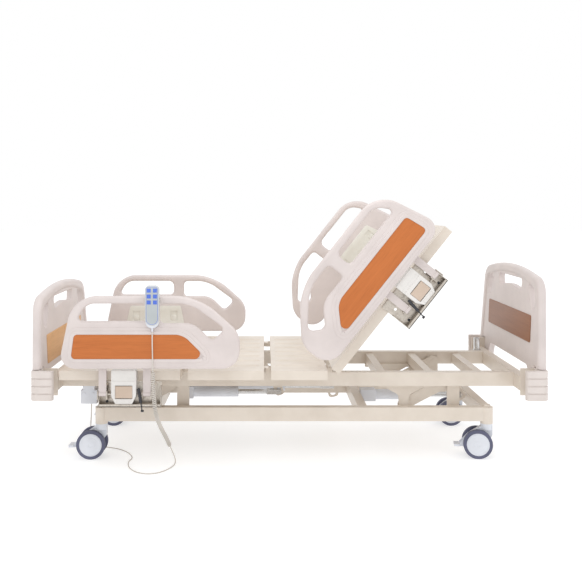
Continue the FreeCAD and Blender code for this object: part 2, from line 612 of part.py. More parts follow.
def make_bumpers():
    blocks = []
    for end_name, end in ENDS.items():
        for side_name, side in SIDES.items():
            name = f"{end_name}_{side_name}"
            height = value("bumper_high") - value("bumper_low")
            count = value("bumper_grooves")
            band = (height - count * value("groove_tall")) / (count + 1)
            layers = [bumper_layer("core_" + name, end, side, value("groove_depth"), "bumper_low + 2",
                                   "bumper_high - 2")]
            for number in range(int(count) + 1):
                low = f"bumper_low + {number} * ({band} + groove_tall)"
                layers.append(bumper_layer(f"band_{name}_{number}", end, side, 0, low, f"{low} + {band}"))
            blocks.append(fuse("bumper_" + name, layers))
    keep("corner_bumpers", group("corner_bumpers", blocks))


def bumper_layer(name, end, side, inset, low, high):
    x_in, x_out = end * value("bumper_in"), end * (value("bumper_end") - inset)
    y_in, y_out = side * value("bumper_side_in"), side * (value("bumper_side_out") - inset)
    x_wall, y_wall = end * value("bumper_wall_x"), side * value("bumper_wall_y")
    corners = [(x_in, y_wall, 0), (x_wall, y_wall, 6), (x_wall, y_in, 0), (x_out, y_in, 8),
               (x_out, y_out, 30 - inset), (x_in, y_out, 14)]
    return prism(name, "xy", corners, low, high)


def make_control_box():
    case = box("control_case", ("box_left", "box_right"), ("box_near", "box_far"), ("box_low", "box_high"))
    hanger = box("control_hanger", ("box_left + 10", "box_right - 10"), ("-frame_out + 6", "-frame_out + 34"),
                 ("box_high", "frame_low"))
    screws = []
    for number, where in enumerate(("box_left + 16", "box_right - 16")):
        screws.append(rod(f"control_screw_{number}", "y", 5, (where, "box_near - 3", "box_high - 14"), 3))
    gland = rod("control_gland", "z", 6, ("box_left + 35", "box_near + 60", "box_low - 14"), 14)
    keep("control_box", group("control_box", [fuse("control_shell", [case, hanger])] + screws + [gland]))


def make_pole_socket():
    outer = rod("socket_outer", "z", "pole_radius + pole_wall", ("socket_x", "socket_y", "socket_low"),
                "socket_top - socket_low")
    bore = rod("socket_bore", "z", "pole_radius", ("socket_x", "socket_y", "socket_low + 8"),
               "socket_top - socket_low")
    collar = rod("socket_collar", "z", "pole_radius + pole_wall + 5", ("socket_x", "socket_y", "frame_high"), 3)
    keep("pole_socket", cut("pole_socket", fuse("socket_body", [outer, collar]), [bore]))


# Side rails -----------------------------------------------------------------------------------------
RAIL = [(-14, 19, 60), (49, 318, 120), (562, 318, 250), (735, 164, 90), (733, 19, 75)]
GRIP = [(62, 215, 16), (103, 287, 60), (352, 287, 28), (352, 215, 22)]
NOSE_GRIP = [(406, 206, 20), (406, 286, 20), (531, 286, 150), (674, 182, 22), (620, 132, 22), (545, 206, 85)]
INLAY = [(43, 62, 16), (56, 161, 14), (501, 161, 70), (601, 62, 21)]


def rail_point(kind, corners):
    """Rail outlines on the foot part of the frame, or mirrored onto the back section."""
    if kind == "foot":
        return [(value("rail_foot") + a, value("deck_top") + b, radius) for a, b, radius in corners]
    rise = value("deck_top") - value("hinge_height")
    return [(value("rail_back") - a, rise + b, radius) for a, b, radius in corners]


def rail_x(kind, *rules):
    """Limits along a rail, written from its blunt end, in its frame's own direction."""
    if kind == "foot":
        return tuple(f"rail_foot + {rule}" for rule in rules)
    return tuple(f"rail_back - ({rule})" for rule in reversed(rules))


def rail_z(kind, rule):
    """A height over the deck's top, in the rail's own frame."""
    return f"deck_top + ({rule})" if kind == "foot" else f"deck_top - hinge_height + ({rule})"


def make_rail(kind, side_name):
    side = SIDES[side_name]
    name = f"{kind}_{side_name}"
    place = BACK_PLACE if kind == "back" else None
    outlines = [rail_point(kind, corners) for corners in (RAIL, GRIP, NOSE_GRIP)]
    body, pad = outline_body("rail_panel_" + name, "XZ_Plane", outlines,
                             "rail_in" if side < 0 else "-rail_in", "rail_out - rail_in", side > 0)
    round_edges(body, pad, 7, "Y", (side * value("rail_in"), side * value("rail_out")))
    lugs, bores = [], []
    pin_y, pin_z = f"{side} * swing_pivot_out", rail_z(kind, "swing_high")
    for number, middle in enumerate(("swing_first", "swing_second")):
        for flank, (low, high) in enumerate((("- swing_half - 5", "- swing_half - 1"),
                                             ("+ swing_half + 1", "+ swing_half + 5"))):
            span = rail_x(kind, f"({middle} {low})", f"({middle} {high})")
            lugs.append(box(f"rail_lug_{name}_{number}_{flank}", span,
                            across(side, "swing_pivot_out - 9", "rail_in + 3"),
                            (f"{pin_z} - 12", f"{pin_z} + 12")))
        span = rail_x(kind, f"({middle} - swing_half - 5)", f"({middle} + swing_half + 5)")
        lugs.append(rod(f"rail_pin_{name}_{number}", "x", "swing_pin", (span[0], pin_y, pin_z),
                        "2 * swing_half + 10"))
    keep("rail_shell_" + name, fuse("rail_shell_" + name, [body] + lugs), place)

    layer = across(side, "rail_out", "rail_out + inlay_thick")
    inlay = prism("rail_inlay_" + name, "xz", rail_point(kind, INLAY), *layer)
    keep("rail_insert_" + name, inlay_holder(name, inlay), place)

    arms = []
    low_z = rail_z(kind, "swing_low")
    for number, middle in enumerate(("swing_first", "swing_second")):
        span = rail_x(kind, f"({middle} - swing_half)", f"({middle} + swing_half)")
        width = "2 * swing_half"
        layer = across(side, "swing_pivot_out - swing_web", "swing_pivot_out + swing_web")
        web = box(f"arm_web_{name}_{number}", span, layer, (low_z, pin_z))
        eyes = [rod(f"arm_eye_{name}_{number}_{end}", "x", "swing_eye", (span[0], pin_y, level), width)
                for end, level in enumerate((low_z, pin_z))]
        holes = [rod(f"arm_hole_{name}_{number}_{end}", "x", "swing_pin + pin_gap",
                     (f"{span[0]} - 1", pin_y, level), f"{width} + 2") for end, level in enumerate((low_z, pin_z))]
        arms.append(cut(f"arm_{name}_{number}", fuse(f"arm_solid_{name}_{number}", [web] + eyes), holes))
    keep("rail_arms_" + name, group("rail_arms_" + name, arms), place)

    span = rail_x(kind, "release_start", "release_end")
    layer = across(side, "housing_out - 2 - release_thick", "housing_out - 2")
    hinge_y = f"{side} * (housing_out - 5)"
    hinge_z = rail_z(kind, "release_high - 5")
    grip = box("release_plate_" + name, span, layer, (rail_z(kind, "release_low"), rail_z(kind, "release_high")))
    pin = rod("release_pin_" + name, "x", "release_pin", (f"{span[0]} - 4", hinge_y, hinge_z),
              "release_end - release_start + 8")
    keep("rail_release_" + name, fuse("rail_release_" + name, [grip, pin]), place)


def inlay_holder(name, inlay):
    """The inlay as a group, so that its own place can be set."""
    return group("inlay_" + name, [inlay])


def rail_mount(kind, side_name):
    """The fixed steel bracket below one rail, with its pins, and the latch housing on it."""
    side = SIDES[side_name]
    name = f"{kind}_{side_name}"
    plate_out = "mount_in + mount_plate"
    plate_top = rail_z(kind, "mount_high - 40" if kind == "foot" else "mount_high")
    steel = [box("mount_plate_" + name, rail_x(kind, "mount_start", "mount_end"),
                 across(side, "mount_in", plate_out), (rail_z(kind, "mount_low"), plate_top))]
    pin_y, low_z = f"{side} * swing_pivot_out", rail_z(kind, "swing_low")
    for number, middle in enumerate(("swing_first", "swing_second")):
        for flank, (low, high) in enumerate((("- swing_half - 5", "- swing_half - 1"),
                                             ("+ swing_half + 1", "+ swing_half + 5"))):
            span = rail_x(kind, f"({middle} {low})", f"({middle} {high})")
            steel.append(box(f"mount_flange_{name}_{number}_{flank}", span,
                             across(side, f"{plate_out} - 1", "flange_out"),
                             (f"{low_z} - 24", f"{low_z} + 14")))
        span = rail_x(kind, f"({middle} - swing_half - 5)", f"({middle} + swing_half + 5)")
        steel.append(rod(f"mount_pin_{name}_{number}", "x", "swing_pin", (span[0], pin_y, low_z),
                         "2 * swing_half + 10"))
    lip = rail_x(kind, "mount_start", "mount_end")
    steel.append(box("mount_lip_" + name, lip, across(side, f"{plate_out} - 1", "flange_out"),
                     (rail_z(kind, "mount_low"), rail_z(kind, "mount_low + 4"))))
    block = box("latch_block_" + name, rail_x(kind, "housing_start", "housing_end"),
                across(side, plate_out, "housing_out"),
                (rail_z(kind, "housing_low"), rail_z(kind, "housing_high")))
    pocket = box("latch_pocket_" + name, rail_x(kind, "(release_start - 1)", "(release_end + 1)"),
                 across(side, "housing_out - 2 - release_thick - 5", "housing_out + 1"),
                 (rail_z(kind, "release_low - release_gap"), rail_z(kind, "release_high + release_gap")))
    span = rail_x(kind, "release_start", "release_end")
    bore = rod("latch_bore_" + name, "x", "release_pin + pin_gap",
               (f"{span[0]} - 5", f"{side} * (housing_out - 5)", rail_z(kind, "release_high - 5")),
               "release_end - release_start + 10")
    return [fuse("mount_steel_" + name, steel), cut("latch_case_" + name, block, [pocket, bore])]


def make_rail_mounts():
    for kind, place in (("foot", None), ("back", BACK_PLACE)):
        parts = rail_mount(kind, "near") + rail_mount(kind, "far")
        keep("rail_mounts_" + kind, group("rail_mounts_" + kind, parts), place)


# Handset and cord -----------------------------------------------------------------------------------
def make_handset():
    case = box("handset_case", ("handset_left", "handset_right"), ("handset_front", "handset_back"),
               ("handset_low", "handset_high"))
    smooth = doc.addObject("Part::Fillet", "handset_round")
    smooth.Base = case
    smooth.Edges = [(number, 8, 8) for number in (2, 4, 6, 8)]
    bridge = ("rail_high + deck_top + 0.5", "rail_high + deck_top + 0.5 + hook_thick")
    sides = ("handset_left + 14", "handset_right - 14")
    hook = [box("hook_bridge", sides, ("handset_back - 1", "-rail_in + 0.5 + hook_thick"), bridge),
            box("hook_lip", sides, ("-rail_in + 0.5", "-rail_in + 0.5 + hook_thick"),
                ("rail_high + deck_top - 16", bridge[1]))]
    middle_x = "(handset_left + handset_right) / 2"
    relief = doc.addObject("Part::Cone", "handset_relief")
    bind(relief, "Radius1", "cord_radius + 1")
    bind(relief, "Radius2", "cord_radius + 3.5")
    bind(relief, "Height", "16")
    for letter, rule in zip("xyz", (middle_x, "(handset_front + handset_back) / 2", "handset_low - 15")):
        bind(relief, f"Placement.Base.{letter}", rule)
    wells = []
    for number, (x, z) in enumerate(key_places()):
        half = "(key_size / 2 + 0.3)"
        wells.append(box(f"key_well_{number}", (f"{x} - {half}", f"{x} + {half}"),
                         ("handset_front - 1", "handset_front + key_sink"), (f"{z} - {half}", f"{z} + {half}")))
    keep("handset_shell", cut("handset_shell", fuse("handset_solid", [smooth, relief] + hook), wells))
    for number, (x, z) in enumerate(key_places()):
        key = box(f"handset_key_{number + 1}", (f"{x} - key_size / 2", f"{x} + key_size / 2"),
                  ("handset_front - key_proud", "handset_front + key_sink - 1.5"),
                  (f"{z} - key_size / 2", f"{z} + key_size / 2"))
        keep(f"handset_key_{number + 1}", key)


def key_places():
    """The middles of the keys, in two columns and three rows."""
    middle = "(handset_left + handset_right) / 2"
    return [(f"({middle} + {column} * key_pitch_x / 2)", f"(key_top - {row} * key_pitch_z)")
            for row in range(3) for column in (-1, 1)]


LEAD = [(-561, -529, 587.5), (-561.5, -528.5, 548), (-560.5, -528, 498), (-559.5, -527.5, 455),
        (-559, -526, 428)]
CURL = [(-559, -526, 427), (-559, -525, 384), (-557, -521, 330), (-553, -514, 276), (-547, -486, 222),
        (-535, -442, 168), (-518, -398, 116), (-507, -370, 74)]
TAIL = [(-507, -370, 74), (-498, -354, 46), (-489, -350, 22), (-484, -366, 6), (-486, -398, 2.6),
        (-504, -450, 2.6), (-538, -496, 2.6), (-583, -512, 2.6), (-628, -494, 2.6), (-662, -452, 2.6),
        (-682, -400, 2.6), (-688, -347, 2.6), (-678, -304, 2.6), (-690, -262, 2.6), (-722, -204, 2.6),
        (-774, -160, 2.6), (-822, -142, 2.6), (-862, -140, 8), (-884, -150, 34), (-890, -166, 76),
        (-886, -182, 120), (-880, -194, 166), (-878, -202, 215)]


def cord_tube(label, route, radius):
    """A tube of straight runs joined by tangent arcs, each arc as large as its two runs allow."""
    points = [Vector(*point) for point in route]
    edges, radii, length = [], [], 0.0
    start = points[0]
    for before, here, after in zip(points, points[1:], points[2:]):
        into, out = (before - here), (after - here)
        turn = math.pi - into.getAngle(out)
        reach = 0.45 * min(into.Length, out.Length)
        bend = reach / math.tan(turn / 2)
        first, last = here + into.normalize() * reach, here + out.normalize() * reach
        middle = (into + out).normalize()
        peak = here + middle * (bend / math.cos(turn / 2) - bend)
        edges += [Part.LineSegment(start, first).toShape(), Part.Arc(first, peak, last).toShape()]
        length += start.distanceToPoint(first) + bend * turn
        radii.append(round(bend))
        start = last
    edges.append(Part.LineSegment(start, points[-1]).toShape())
    length += start.distanceToPoint(points[-1])
    path = Part.Wire(edges)
    ring = Part.Wire(Part.makeCircle(radius, points[0], points[1] - points[0]))
    tube = doc.addObject("Part::Feature", label)
    tube.Shape = path.makePipeShell([ring], True, True)
    volume = math.pi * radius ** 2 * length
    print(label, "length", round(length), "radii", radii, "volume ratio", round(tube.Shape.Volume / volume, 4))
    keep(label, tube)


make_base_frame()
for end_name in ENDS:
    for side_name in SIDES:
        make_caster(f"{end_name}_{side_name}", end_name, side_name)
for end_name in ENDS:
    make_lift_arm(end_name)
make_upper_frame()
make_deck()
LIFT_PIN_X = value("lift_head") + 1.07 * value("lift_rod_drop") * math.radians(value("lift_swing") / 2)
BACK_SHIFT = math.radians(value("back_angle") - 37.5)
DROP = value("hinge_height") - value("rod_height")
make_actuator("lift_drive", (410, 592), LIFT_PIN_X, "lift_pivot - lift_rod_drop", 0, LIFT_PIN_X - 228)
DRIVE_TOP = "rod_height + gearbox_half - 1"
make_actuator("back_drive", (-280, -6), value("back_hinge") + 1.085 * DROP * BACK_SHIFT, "rod_height",
              "lever_side", -110, [((-305, -275), 14, (DRIVE_TOP, "frame_low + 6"))])
make_actuator("knee_drive", (-440, -225), value("thigh_hinge") + 1.02 * DROP * math.radians(20), "rod_height",
              "-lever_side", -300, [((-495, -465), 14, (DRIVE_TOP, "frame_low + 10")),
                                    ((-500, -308), 12, ("frame_low + 8", "frame_low + 32"))])
make_boards()
make_bumpers()
make_control_box()
make_pole_socket()
for kind in ("foot", "back"):
    for side_name in SIDES:
        make_rail(kind, side_name)
make_rail_mounts()
make_handset()
cord_tube("cord_lead", LEAD, value("cord_radius"))
cord_tube("cord_curl", CURL, value("curl_radius"))
cord_tube("cord_tail", TAIL, value("cord_radius"))

doc.recompute()
faults = [item.Name for item in doc.Objects if {"Invalid", "Error"} & set(item.State)]
faults += [node.Label for node in nodes if node.Shape.isNull() or not node.Shape.isValid()]
if faults:
    raise RuntimeError(f"these did not build: {faults}")
os.makedirs("parts", exist_ok=True)
for node in nodes:
    node.Shape.exportStep(f"parts/{node.Label}.step")
    print(node.Label, len(node.Shape.Solids), "solids", round(node.Shape.Volume / 1000), "cm3")
print(len(nodes), "nodes")
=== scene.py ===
import math

import bpy
from mathutils import Matrix, Vector


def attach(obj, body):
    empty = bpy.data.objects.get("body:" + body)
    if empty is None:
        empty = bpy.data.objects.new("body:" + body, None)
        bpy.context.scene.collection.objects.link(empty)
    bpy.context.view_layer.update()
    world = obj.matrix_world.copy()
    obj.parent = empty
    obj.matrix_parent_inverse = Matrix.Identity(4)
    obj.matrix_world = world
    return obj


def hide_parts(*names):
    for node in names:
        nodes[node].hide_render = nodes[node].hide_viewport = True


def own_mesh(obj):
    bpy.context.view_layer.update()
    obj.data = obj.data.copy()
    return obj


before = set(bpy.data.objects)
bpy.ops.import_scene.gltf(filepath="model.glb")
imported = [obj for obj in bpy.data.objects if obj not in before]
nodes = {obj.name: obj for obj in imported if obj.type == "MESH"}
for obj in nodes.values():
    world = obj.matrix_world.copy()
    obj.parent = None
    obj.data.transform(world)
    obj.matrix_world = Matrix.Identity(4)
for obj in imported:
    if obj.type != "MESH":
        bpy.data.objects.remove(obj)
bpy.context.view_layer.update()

# The bed lies along X with its foot towards -X, its near side towards -Y and the floor at Z = 0.
SIDES = {"near": -1, "far": 1}
ENDS = {"foot": -1, "head": 1}
CORNERS = ("foot_near", "foot_far", "head_near", "head_far")
MM = 0.001
SMOOTH_BELOW = math.radians(32)

# The raised back section turns about its hinge, and everything on it is measured from there.
BACK_TILT = math.radians(51.5)
BACK_HINGE = (0.178, 0, 0.394)
BACK_PLACE = Matrix.Translation(BACK_HINGE) @ Matrix.Rotation(-BACK_TILT, 4, "Y")


# Camera, light and floor ------------------------------------------------------------------------------
EYE = (-0.105, -3.821, 1.101)
LENS_MM = 50
SHIFT = (0.046, -0.136)
SKY_STRENGTH = 1.0
# Each lamp's name, place, the point it faces, watts and width.
LAMPS = (
    ("key_lamp", (-1.6, -3.4, 3.6), (0, 0, 0.4), 17, 2.4),
    ("side_lamp", (3.2, -1.2, 2.6), (0, 0, 0.4), 6, 2.0),
    ("deck_lamp", (-0.1, -0.5, 2.1), (-0.1, 0.5, 0.5), 6, 1.4),
)
FLOOR_WIDTH = 60
FLOOR_GLOW = 0.55


def aim_camera():
    """Eye level is above the boards, and the shift frames the bed without tilting its posts."""
    bpy.ops.object.camera_add(location=EYE, rotation=(math.pi / 2, 0, 0))
    camera = bpy.context.object
    camera.name = "camera"
    camera.data.lens = LENS_MM
    camera.data.shift_x, camera.data.shift_y = SHIFT
    bpy.context.scene.camera = camera


def light_room():
    """A white tent, a soft lamp in front and above, a weaker one across, and one over the deck."""
    scene = bpy.context.scene
    scene.view_settings.view_transform = "Standard"
    scene.world = bpy.data.worlds.new("studio")
    scene.world.use_nodes = True
    sky = scene.world.node_tree.nodes["Background"]
    sky.inputs["Color"].default_value = (1, 1, 1, 1)
    sky.inputs["Strength"].default_value = SKY_STRENGTH
    for name, place, faces, watts, width in LAMPS:
        turn = (Vector(faces) - Vector(place)).to_track_quat("-Z", "Y").to_euler()
        bpy.ops.object.light_add(type="AREA", location=place, rotation=turn)
        lamp = bpy.context.object
        lamp.name = name
        lamp.data.energy = watts
        lamp.data.size = width


def lay_floor():
    """A white paper floor that glows a little, so that it runs into the backdrop without an edge."""
    bpy.ops.mesh.primitive_plane_add(size=FLOOR_WIDTH)
    floor = bpy.context.object
    floor.name = "floor"
    paper = mottled("white_paper_floor", "C8C8C8", "C6C6C6", 0.9, 4, 0.05)
    shader = paper.node_tree.nodes["Principled BSDF"]
    shader.inputs["Emission Color"].default_value = (1, 1, 1, 1)
    shader.inputs["Emission Strength"].default_value = FLOOR_GLOW
    coat(floor, paper)


# Materials --------------------------------------------------------------------------------------------
def linear(code):
    """An sRGB hex colour as the linear colour that a shader wants."""
    parts = [int(code[place:place + 2], 16) / 255 for place in (0, 2, 4)]
    return tuple(p / 12.92 if p <= 0.04045 else ((p + 0.055) / 1.055) ** 2.4 for p in parts) + (1,)


def add(tree, kind, settings=None, links=None):
    """One node, with its sockets or properties set and its inputs linked."""
    made = tree.nodes.new(kind)
    for word, setting in (settings or {}).items():
        if isinstance(word, int) or word in made.inputs:
            made.inputs[word].default_value = setting
        else:
            setattr(made, word, setting)
    for socket, source in (links or {}).items():
        tree.links.new(source, made.inputs[socket])
    return made


def two_tone(tree, pattern, first, second, ends=(0.0, 1.0)):
    """A ramp from one hex colour to another, as a pattern goes between two values."""
    tone = add(tree, "ShaderNodeValToRGB", links={"Fac": pattern})
    for stop, position, code in zip(tone.color_ramp.elements, ends, (first, second)):
        stop.position = position
        stop.color = linear(code)
    return tone.outputs["Color"]


def blank(name, rough, **sockets):
    """A new material with its shader, ready for its pattern, and the place on the object."""
    made = bpy.data.materials.new(name)
    made.use_nodes = True
    tree = made.node_tree
    shader = tree.nodes["Principled BSDF"]
    shader.inputs["Roughness"].default_value = rough
    for word, setting in sockets.items():
        shader.inputs[word.replace("_", " ")].default_value = setting
    place = add(tree, "ShaderNodeTexCoord").outputs["Object"]
    return made, tree, shader, place


def dress(tree, shader, colour, relief, rough=None):
    """Links a material's colour, its relief and, where it varies, its roughness."""
    tree.links.new(colour, shader.inputs["Base Color"])
    tree.links.new(relief.outputs["Normal"], shader.inputs["Normal"])
    if rough:
        tree.links.new(rough.outputs["Result"], shader.inputs["Roughness"])


def mottled(name, light, dark, rough, grain_mm, depth_mm, **sockets):
    """A coated or moulded skin: patches of colour 140 mm across, and a fine grain in relief."""
    made, tree, shader, place = blank(name, rough, **sockets)
    drift = add(tree, "ShaderNodeTexNoise", {"Scale": 7, "Detail": 3, "Roughness": 0.6},
                {"Vector": place})
    tone = two_tone(tree, drift.outputs["Fac"], dark, light, (0.32, 0.62))
    grain = add(tree, "ShaderNodeTexNoise", {"Scale": 1000 / grain_mm, "Detail": 2}, {"Vector": place})
    relief = add(tree, "ShaderNodeBump", {"Distance": depth_mm / 1000, "Strength": 0.6},
                 {"Height": grain.outputs["Fac"]})
    wear = add(tree, "ShaderNodeMapRange", {"To Min": rough - 0.06, "To Max": rough + 0.08},
               {"Value": drift.outputs["Fac"]})
    dress(tree, shader, tone, relief, wear)
    return made


def beech_foil(name, light, dark, stretch, tilt=0.0):
    """Printed beech foil under matt lacquer: pores 3 mm apart along the board, over a warm figure."""
    made, tree, shader, place = blank(name, 0.42, IOR=1.5, Specular_IOR_Level=0.3)
    turned = add(tree, "ShaderNodeMapping", {"Rotation": (0, tilt, 0)}, {"Vector": place})
    lay = add(tree, "ShaderNodeMapping", {"Scale": stretch}, {"Vector": turned.outputs["Vector"]})
    figure = add(tree, "ShaderNodeTexNoise",
                 {"Scale": 2.2, "Detail": 5, "Roughness": 0.62, "Distortion": 0.4},
                 {"Vector": lay.outputs["Vector"]})
    pores = add(tree, "ShaderNodeTexNoise", {"Scale": 16, "Detail": 3}, {"Vector": lay.outputs["Vector"]})
    tone = two_tone(tree, figure.outputs["Fac"], dark, light, (0.3, 0.7))
    fleck = add(tree, "ShaderNodeMapRange",
                {"From Min": 0.3, "From Max": 0.5, "To Min": 0.9, "To Max": 1.0},
                {"Value": pores.outputs["Fac"]})
    both = add(tree, "ShaderNodeVectorMath", {"operation": "SCALE"},
               {0: tone, "Scale": fleck.outputs["Result"]})
    relief = add(tree, "ShaderNodeBump", {"Distance": 0.0002, "Strength": 0.3},
                 {"Height": pores.outputs["Fac"]})
    dress(tree, shader, both.outputs["Vector"], relief)
    return made


def bare_steel(name, light, dark, rough):
    """A bare or plated metal: crystals 6 mm across, each of its own tone, and a grain 2.5 mm apart."""
    made, tree, shader, place = blank(name, rough, Metallic=1.0)
    spangle = add(tree, "ShaderNodeTexVoronoi", {"Scale": 160}, {"Vector": place})
    tone = two_tone(tree, spangle.outputs["Distance"], light, dark)
    brushed = add(tree, "ShaderNodeTexNoise", {"Scale": 400, "Detail": 2}, {"Vector": place})
    relief = add(tree, "ShaderNodeBump", {"Distance": 0.0002, "Strength": 0.4},
                 {"Height": brushed.outputs["Fac"]})
    spread = add(tree, "ShaderNodeMapRange", {"To Min": rough - 0.08, "To Max": rough + 0.12},
                 {"Value": brushed.outputs["Fac"]})
    dress(tree, shader, tone, relief, spread)
    return made


# Epoxy powder coat: a warm white with orange peel about 3 mm across, which softens every highlight.
powder_coat = mottled("powder_coated_steel", "DED4C8", "D5CABD", 0.36, 3, 0.12, IOR=1.5)
# Blow-moulded polypropylene boards and rails: a pinkish white, its eroded grain drawn 2 mm across
# to show.
shell_plastic = mottled("blow_moulded_polypropylene", "D8CECB", "D0C6C3", 0.42, 2, 0.08, IOR=1.49)
# Moulded polyurethane bumpers: the same white, duller, a little dirtier.
bumper_plastic = mottled("moulded_polyurethane", "DAD1CC", "CFC5BF", 0.5, 1.6, 0.1, IOR=1.5)
# Injection-moulded nylon of the casters, drives and control box: a cold light grey with a satin gloss.
grey_nylon = mottled("moulded_grey_nylon", "DEE1E8", "D2D5DC", 0.4, 1.5, 0.06, IOR=1.53)
# Glass-filled nylon of the dampers and screw heads: near black, matt from its fibres.
black_nylon = mottled("glass_filled_black_nylon", "35353A", "26262B", 0.55, 1.2, 0.1, IOR=1.53)
# Polyurethane tyre: slate blue, dull, with a faint bloom.
tyre_rubber = mottled("polyurethane_tyre", "5E6078", "4A4C60", 0.6, 1.8, 0.1, IOR=1.5)
# ABS release buttons: sandy beige, half matt.
beige_abs = mottled("moulded_beige_abs", "CDB9A8", "C2AE9C", 0.45, 1.4, 0.06, IOR=1.54)
# ABS handset case: light cold grey with a soft gloss.
handset_abs = mottled("moulded_grey_abs", "C9CCCC", "BDC1C1", 0.4, 1.2, 0.05, IOR=1.54)
# Printed polyester keys: saturated blue under a clear film.
blue_film = mottled("printed_polyester_film", "4F74D8", "3F63C8", 0.3, 1.5, 0.04, IOR=1.58,
                    Coat_Weight=0.3)
# Plasticised PVC cord: a light cream grey, a soft satin.
cream_pvc = mottled("plasticised_cream_pvc", "D6D0C9", "C6C0B8", 0.46, 1.2, 0.05, IOR=1.53)
# Beech foils: an orange one on the rails, its grain along each rail, and ones across the boards: a tan
# one on the foot board, and on the head board the same foil darkened to brown, which is painted shade.
beech_along = beech_foil("beech_foil_side_rails", "C7743C", "BA6A35", (1.2, 20, 20))
beech_tilted = beech_foil("beech_foil_tilted_rails", "C7743C", "BA6A35", (1.2, 20, 20), BACK_TILT)
# The head board's foil is the board foil painted darker: painted shade on the far board's inlays.
beech_head_painted_shade = beech_foil("beech_foil_head_board", "98694C", "8C5F44", (20, 1.2, 20))
beech_foot = beech_foil("beech_foil_foot_board", "DEB080", "D0A274", (20, 1.2, 20))
# ABS latch housings: a cleaner, colder white than the rails.
white_abs = mottled("moulded_white_abs", "E4E1DE", "DAD7D3", 0.38, 1.4, 0.05, IOR=1.54)
# Injection-moulded cover of the hinge irons: a yellowish white beside the rail's pink.
cover_plastic = mottled("moulded_cover_polypropylene", "E2E0D8", "DAD7CD", 0.42, 1.6, 0.06, IOR=1.49)
# Printed face of the handset: flat pale grey under a clear film.
grey_film = mottled("printed_grey_film", "B8BEC0", "AEB4B6", 0.32, 1.5, 0.03, IOR=1.58, Coat_Weight=0.3)
# Zinc-plated sheet of brackets and lugs: a warm, clouded metal.
zinc_plate = bare_steel("zinc_plated_steel", "D5CEC4", "B9B0A6", 0.38)
# Turned and polished rods and tubes: a cold, sharper shine.
bright_steel = bare_steel("turned_bright_steel", "DCDCDC", "C4C4C4", 0.26)

# What each carried node is coated with, by the longest start of its name.
FINISHES = {
    "base_frame": powder_coat, "lift_drive_motor": grey_nylon, "lift_arm": powder_coat,
    "lift_drive_rod": bright_steel, "knee_drive_rod": bright_steel, "back_drive_rod": bright_steel,
    "upper_frame": powder_coat, "corner_bumpers": bumper_plastic, "foot_board": shell_plastic,
    # The board inserts take the head board's foil, darkened as painted shade.
    "head_board": shell_plastic, "board_inserts": beech_head_painted_shade, "seat_section": powder_coat,
    "back_drive_motor": grey_nylon, "knee_drive_motor": grey_nylon, "control_box": grey_nylon,
    "pole_socket": bright_steel, "rail_mounts": zinc_plate, "thigh_section": powder_coat,
    "leg_section": powder_coat, "back_section": powder_coat, "rail_arms": shell_plastic,
    "rail_shell": shell_plastic, "rail_insert_foot": beech_along, "rail_insert_back": beech_tilted,
    "rail_release": beige_abs, "handset_shell": handset_abs, "handset_key": blue_film,
    "caster_fork": grey_nylon, "caster_wheels": tyre_rubber, "caster_pedal": grey_nylon,
    "cord": cream_pvc,
}


def coat(piece, material):
    """Gives a piece one material and no other."""
    piece.data.materials.clear()
    piece.data.materials.append(material)
    return piece


def finish_carried_nodes():
    """Coats every node of the frame and smooths its round faces."""
    for name, piece in nodes.items():
        start = max((word for word in FINISHES if name.startswith(word)), key=len)
        coat(piece, FINISHES[start])
        only(piece)
        bpy.ops.object.shade_smooth_by_angle(angle=SMOOTH_BELOW)


# Shaping ----------------------------------------------------------------------------------------------
SAME_SPOT = 1e-5


def only(piece):
    """Selects one object and nothing else."""
    bpy.ops.object.select_all(action="DESELECT")
    piece.select_set(True)
    bpy.context.view_layer.objects.active = piece


def pick(piece, kind, wanted):
    """In edit mode, selects the corners or faces that pass a test."""
    if bpy.context.mode != "OBJECT":
        bpy.ops.object.mode_set(mode="OBJECT")
    only(piece)
    bpy.ops.object.mode_set(mode="EDIT")
    bpy.ops.mesh.select_mode(type=kind)
    bpy.ops.mesh.select_all(action="DESELECT")
    bpy.ops.object.mode_set(mode="OBJECT")
    parts = {"VERT": piece.data.vertices, "FACE": piece.data.polygons}[kind]
    for part in parts:
        part.select = wanted(part)
    bpy.ops.object.mode_set(mode="EDIT")


def spot(plane, a, b, depth):
    """A point given in millimetres in a drawing plane, and its depth across that plane."""
    order = {"xz": (a, depth, b), "yz": (depth, a, b)}[plane]
    return Vector(order) * MM


def corner_reach(corners, number):
    """How far from a corner its rounding starts."""
    a, b, radius = corners[number]
    before = Vector(corners[number - 1][:2]) - Vector((a, b))
    after = Vector(corners[(number + 1) % len(corners)][:2]) - Vector((a, b))
    return radius / math.tan(before.angle(after) / 2)


def plate(name, corners, low, high, plane="xz", steps=7):
    """A plate from its outline of (a, b, corner radius), rounded corner by corner and then extruded."""
    bpy.ops.object.select_all(action="DESELECT")
    bpy.ops.mesh.primitive_circle_add(vertices=len(corners), radius=1, fill_type="NGON")
    piece = bpy.context.object
    piece.name = name
    for vertex, (a, b, _) in zip(piece.data.vertices, corners):
        vertex.co = spot(plane, a, b, low)
    for number, (a, b, radius) in enumerate(corners):
        if radius:
            here = spot(plane, a, b, low)
            pick(piece, "VERT", lambda part: (part.co - here).length < SAME_SPOT)
            reach = corner_reach(corners, number) * MM
            bpy.ops.mesh.bevel(offset=reach, segments=steps, affect="VERTICES")
    pick(piece, "FACE", lambda part: True)
    bpy.ops.mesh.extrude_region_move(TRANSFORM_OT_translate={"value": spot(plane, 0, 0, high - low)})
    bpy.ops.mesh.select_all(action="SELECT")
    bpy.ops.mesh.normals_make_consistent(inside=False)
    bpy.ops.object.mode_set(mode="OBJECT")
    return piece


def slab(name, x, y, z, soften_by=0):
    """A block between limits in millimetres, with its edges taken off."""
    piece = plate(name, [(x[0], z[0], 0), (x[1], z[0], 0), (x[1], z[1], 0), (x[0], z[1], 0)], *y)
    return soften(piece, soften_by, 2) if soften_by else piece


